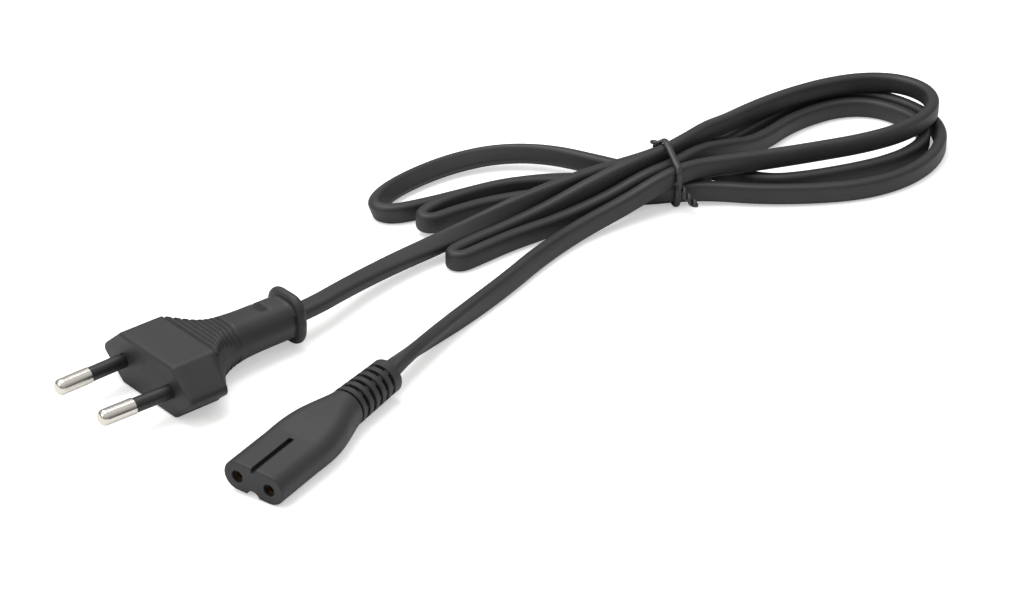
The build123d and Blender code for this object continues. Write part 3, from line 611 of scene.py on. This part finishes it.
def plug_ring(s):
    """Ring of the plug body s behind its face: soft_hexagon(top(s), nose(s), high(s), radius(s)).

    The wings fade as exp(-(s - 10.4) / 2.3), the top as exp(-((s - 12) / 5.2) ** 1.4), the height as
    exp(-((s - 12) / 8) ** 1.7). Grip grooves lower top and underside by 0.85, the collar's rim is a half circle.
    """
    past = max(s - SHOULDER, 0.0)
    ease = min(past / NECK_END_EASE, 1.0)
    radius = HEAD_RADIUS + NECK_RADIUS_GAIN * ease * ease * (3 - 2 * ease)
    top = 1.3 + 8.6 * np.exp(-((past / 5.2) ** 1.4))
    high = 5.0 + 1.85 * np.exp(-((past / 8.0) ** 1.7)) - radius
    wing = 1.0 if s < WING_BACK else np.exp(-(s - WING_BACK) / WING_FADE)
    nose = top + 0.15 + (WING_NOSE - top) * wing
    if s < FACE_ROUND:
        radius -= FACE_ROUND - (FACE_ROUND**2 - (FACE_ROUND - s) ** 2) ** 0.5
    if s >= COLLAR - RIM - 0.001:
        swell = max(RIM**2 - (s - COLLAR) ** 2, 0.0) ** 0.5
        top, nose, high, radius = 2.1, 2.3, 2.0, 4.6 - RIM + swell
    ring = soft_hexagon(top, nose, high, radius)
    if any(start - 0.01 < s < start + GROOVE_WIDTH for start in GROOVES):
        rise = np.clip((np.abs(ring[:, 1]) - high) / radius, 0, 1) ** 0.5
        ring[:, 1] -= GROOVE_DEPTH * np.sign(ring[:, 1]) * rise
    if SLOT_START < s < SLOT_END:
        slot = (ring[:, 1] > 2.6) & (np.abs(ring[:, 0] - SLOT_MIDDLE) < SLOT_REACH)
        ring[slot, 1] = 1.0
    return np.column_stack([np.full(len(ring), s), ring + NECK_SHIFT * ease])


class MAINSLEAD_OT_plug(bpy.types.Operator):
    """Plug: the moulded body, its two pins and what is moulded in."""

    bl_idname = "mainslead.plug"
    bl_label = "Plug"

    def execute(self, context):
        rings = np.array([plug_ring(s) for s in plug_stations()])
        body = surface("plug_moulding", (rings + PLUG_FACE) / 1000, "moulded_pvc")
        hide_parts("plug_body")
        dress("nickel_brass", "plug_pin_far", "plug_pin_near")
        dress("sleeve_plastic", "pin_sleeve_far", "pin_sleeve_near")
        dress("bridge_plastic", "plug_bridge")
        dress("copper_strand", "plug_conductor_far", "plug_conductor_near")
        dress("core_blue", "plug_core_far")
        dress("core_brown", "plug_core_near")
        return {"FINISHED"}


class MAINSLEAD_OT_connector(bpy.types.Operator):
    """Connector: the moulded body with its strain relief, the contacts and their carrier."""

    bl_idname = "mainslead.connector"
    bl_label = "Connector"

    def execute(self, context):
        dress("moulded_pvc", "connector_body")
        dress("bridge_plastic", "contact_carrier")
        dress("contact_bronze", "contact_far", "contact_near")
        dress("copper_strand", "connector_conductor_far", "connector_conductor_near")
        dress("core_blue", "connector_core_far")
        dress("core_brown", "connector_core_near")
        return {"FINISHED"}


# Strength of the floor's own light for the camera, half side of the floor, and what the lamps are aimed at
FLOOR_GLOW = 0.43
FLOOR_REACH = 3.0
LIT_POINT = (0.11, -0.005, 0.0)


def floor_material():
    """Matt white paper: diffuse, and for the camera alone a little light of its own so that it prints white."""
    made = bpy.data.materials.new("Paper, matt, white")
    made.use_nodes = True
    tree = made.node_tree
    tree.nodes.remove(tree.nodes["Principled BSDF"])
    paper = add(tree, "BsdfDiffuse", "BSDF", {"Color": srgb("F4F4F2")})
    eye = add(tree, "LightPath", "Is Camera Ray", {})
    strength = add(tree, "Math", "Value", {0: eye, 1: FLOOR_GLOW}, operation="MULTIPLY")
    glow = add(tree, "Emission", "Emission", {"Strength": strength})
    both = add(tree, "AddShader", "Shader", {0: paper, 1: glow})
    feed(tree, tree.nodes["Material Output"], {"Surface": both})
    return made


def studio_world():
    """White to the camera; to the object bright overhead and dim towards the horizon."""
    world = bpy.data.worlds.new("Studio")
    world.use_nodes = True
    tree = world.node_tree
    where = add(tree, "TexCoord", "Generated", {})
    height = add(tree, "SeparateXYZ", "Z", {"Vector": where})
    light = add(tree, "ValToRGB", "Color", {"Fac": height}, ((0.02, srgb("6A6A6C")), (0.75, srgb("E8E8E8"))))
    eye = add(tree, "LightPath", "Is Camera Ray", {})
    white = (1.0, 1.0, 1.0, 1.0)
    seen = add(tree, "Mix", "Result", {"Factor": eye, "A": light, "B": white}, data_type="RGBA")
    feed(tree, tree.nodes["Background"], {"Color": seen, "Strength": 1.0})
    return world


class MAINSLEAD_OT_stage(bpy.types.Operator):
    """Camera at the photograph's angle, a white floor and soft studio light."""

    bl_idname = "mainslead.stage"
    bl_label = "Stage"

    def execute(self, context):
        use = context.scene.mains_lead_stage
        scene = context.scene
        scene.view_settings.view_transform = "Standard"
        data = bpy.data.cameras.new("camera")
        data.lens = use.lens
        data.clip_end = 20.0
        data.dof.use_dof = False
        camera = bpy.data.objects.new("camera", data)
        camera.location = use.camera
        camera.rotation_euler = (pi / 2 - use.pitch, 0.0, use.yaw - pi / 2)
        scene.collection.objects.link(camera)
        scene.camera = camera
        scene.world = studio_world()
        mesh = bpy.data.meshes.new("floor")
        corners = [(x * FLOOR_REACH, y * FLOOR_REACH, 0) for x, y in ((-1, -1), (1, -1), (1, 1), (-1, 1))]
        mesh.from_pydata(corners, [], [(0, 1, 2, 3)])
        mesh.materials.append(floor_material())
        floor = bpy.data.objects.new("floor", mesh)
        scene.collection.objects.link(floor)
        lamps = [
            ("soft_box_above", (0.05, 0.25, 0.9), 0.7, use.key),
            ("soft_box_left", (-0.75, 0.15, 0.55), 0.5, 0.35 * use.key),
        ]
        for name, place, width, power in lamps:
            light = bpy.data.lights.new(name, "AREA")
            light.size = width
            light.energy = power
            lamp = bpy.data.objects.new(name, light)
            lamp.location = place
            aim = Vector(LIT_POINT) - Vector(place)
            lamp.rotation_euler = aim.to_track_quat("-Z", "Y").to_euler()
            scene.collection.objects.link(lamp)
        return {"FINISHED"}


class MAINSLEAD_PT_panel(bpy.types.Panel):
    """Buttons that build each piece, and its settings."""

    bl_idname = "MAINSLEAD_PT_panel"
    bl_label = "Mains Lead"
    bl_space_type = "VIEW_3D"
    bl_region_type = "UI"
    bl_category = "Mains Lead"

    def draw(self, context):
        layout = self.layout
        scene = context.scene
        for settings, operators in (
            (scene.mains_lead_cord, ("mainslead.cord",)),
            (scene.mains_lead_tie, ("mainslead.tie",)),
            (scene.mains_lead_finish, ("mainslead.plug", "mainslead.connector")),
            (scene.mains_lead_stage, ("mainslead.stage",)),
        ):
            column = layout.box().column()
            for name in settings.__annotations__:
                column.prop(settings, name)
            for operator in operators:
                column.operator(operator)


CLASSES = (
    CordSettings,
    TieSettings,
    FinishSettings,
    StageSettings,
    MAINSLEAD_OT_cord,
    MAINSLEAD_OT_tie,
    MAINSLEAD_OT_plug,
    MAINSLEAD_OT_connector,
    MAINSLEAD_OT_stage,
    MAINSLEAD_PT_panel,
)
SETTINGS = {
    "mains_lead_cord": CordSettings,
    "mains_lead_tie": TieSettings,
    "mains_lead_finish": FinishSettings,
    "mains_lead_stage": StageSettings,
}


def register():
    """Registers the classes and hangs the settings on the scene."""
    for cls in CLASSES:
        bpy.utils.register_class(cls)
    for name, group in SETTINGS.items():
        setattr(bpy.types.Scene, name, bpy.props.PointerProperty(type=group))


def unregister():
    """Takes off all that register() put on."""
    for name in SETTINGS:
        delattr(bpy.types.Scene, name)
    for cls in reversed(CLASSES):
        bpy.utils.unregister_class(cls)


def main():
    """Builds the scene in order."""
    register()
    bpy.ops.mainslead.stage()
    bpy.ops.mainslead.cord()
    bpy.ops.mainslead.tie()
    bpy.ops.mainslead.plug()
    bpy.ops.mainslead.connector()


if __name__ == "__main__":
    main()
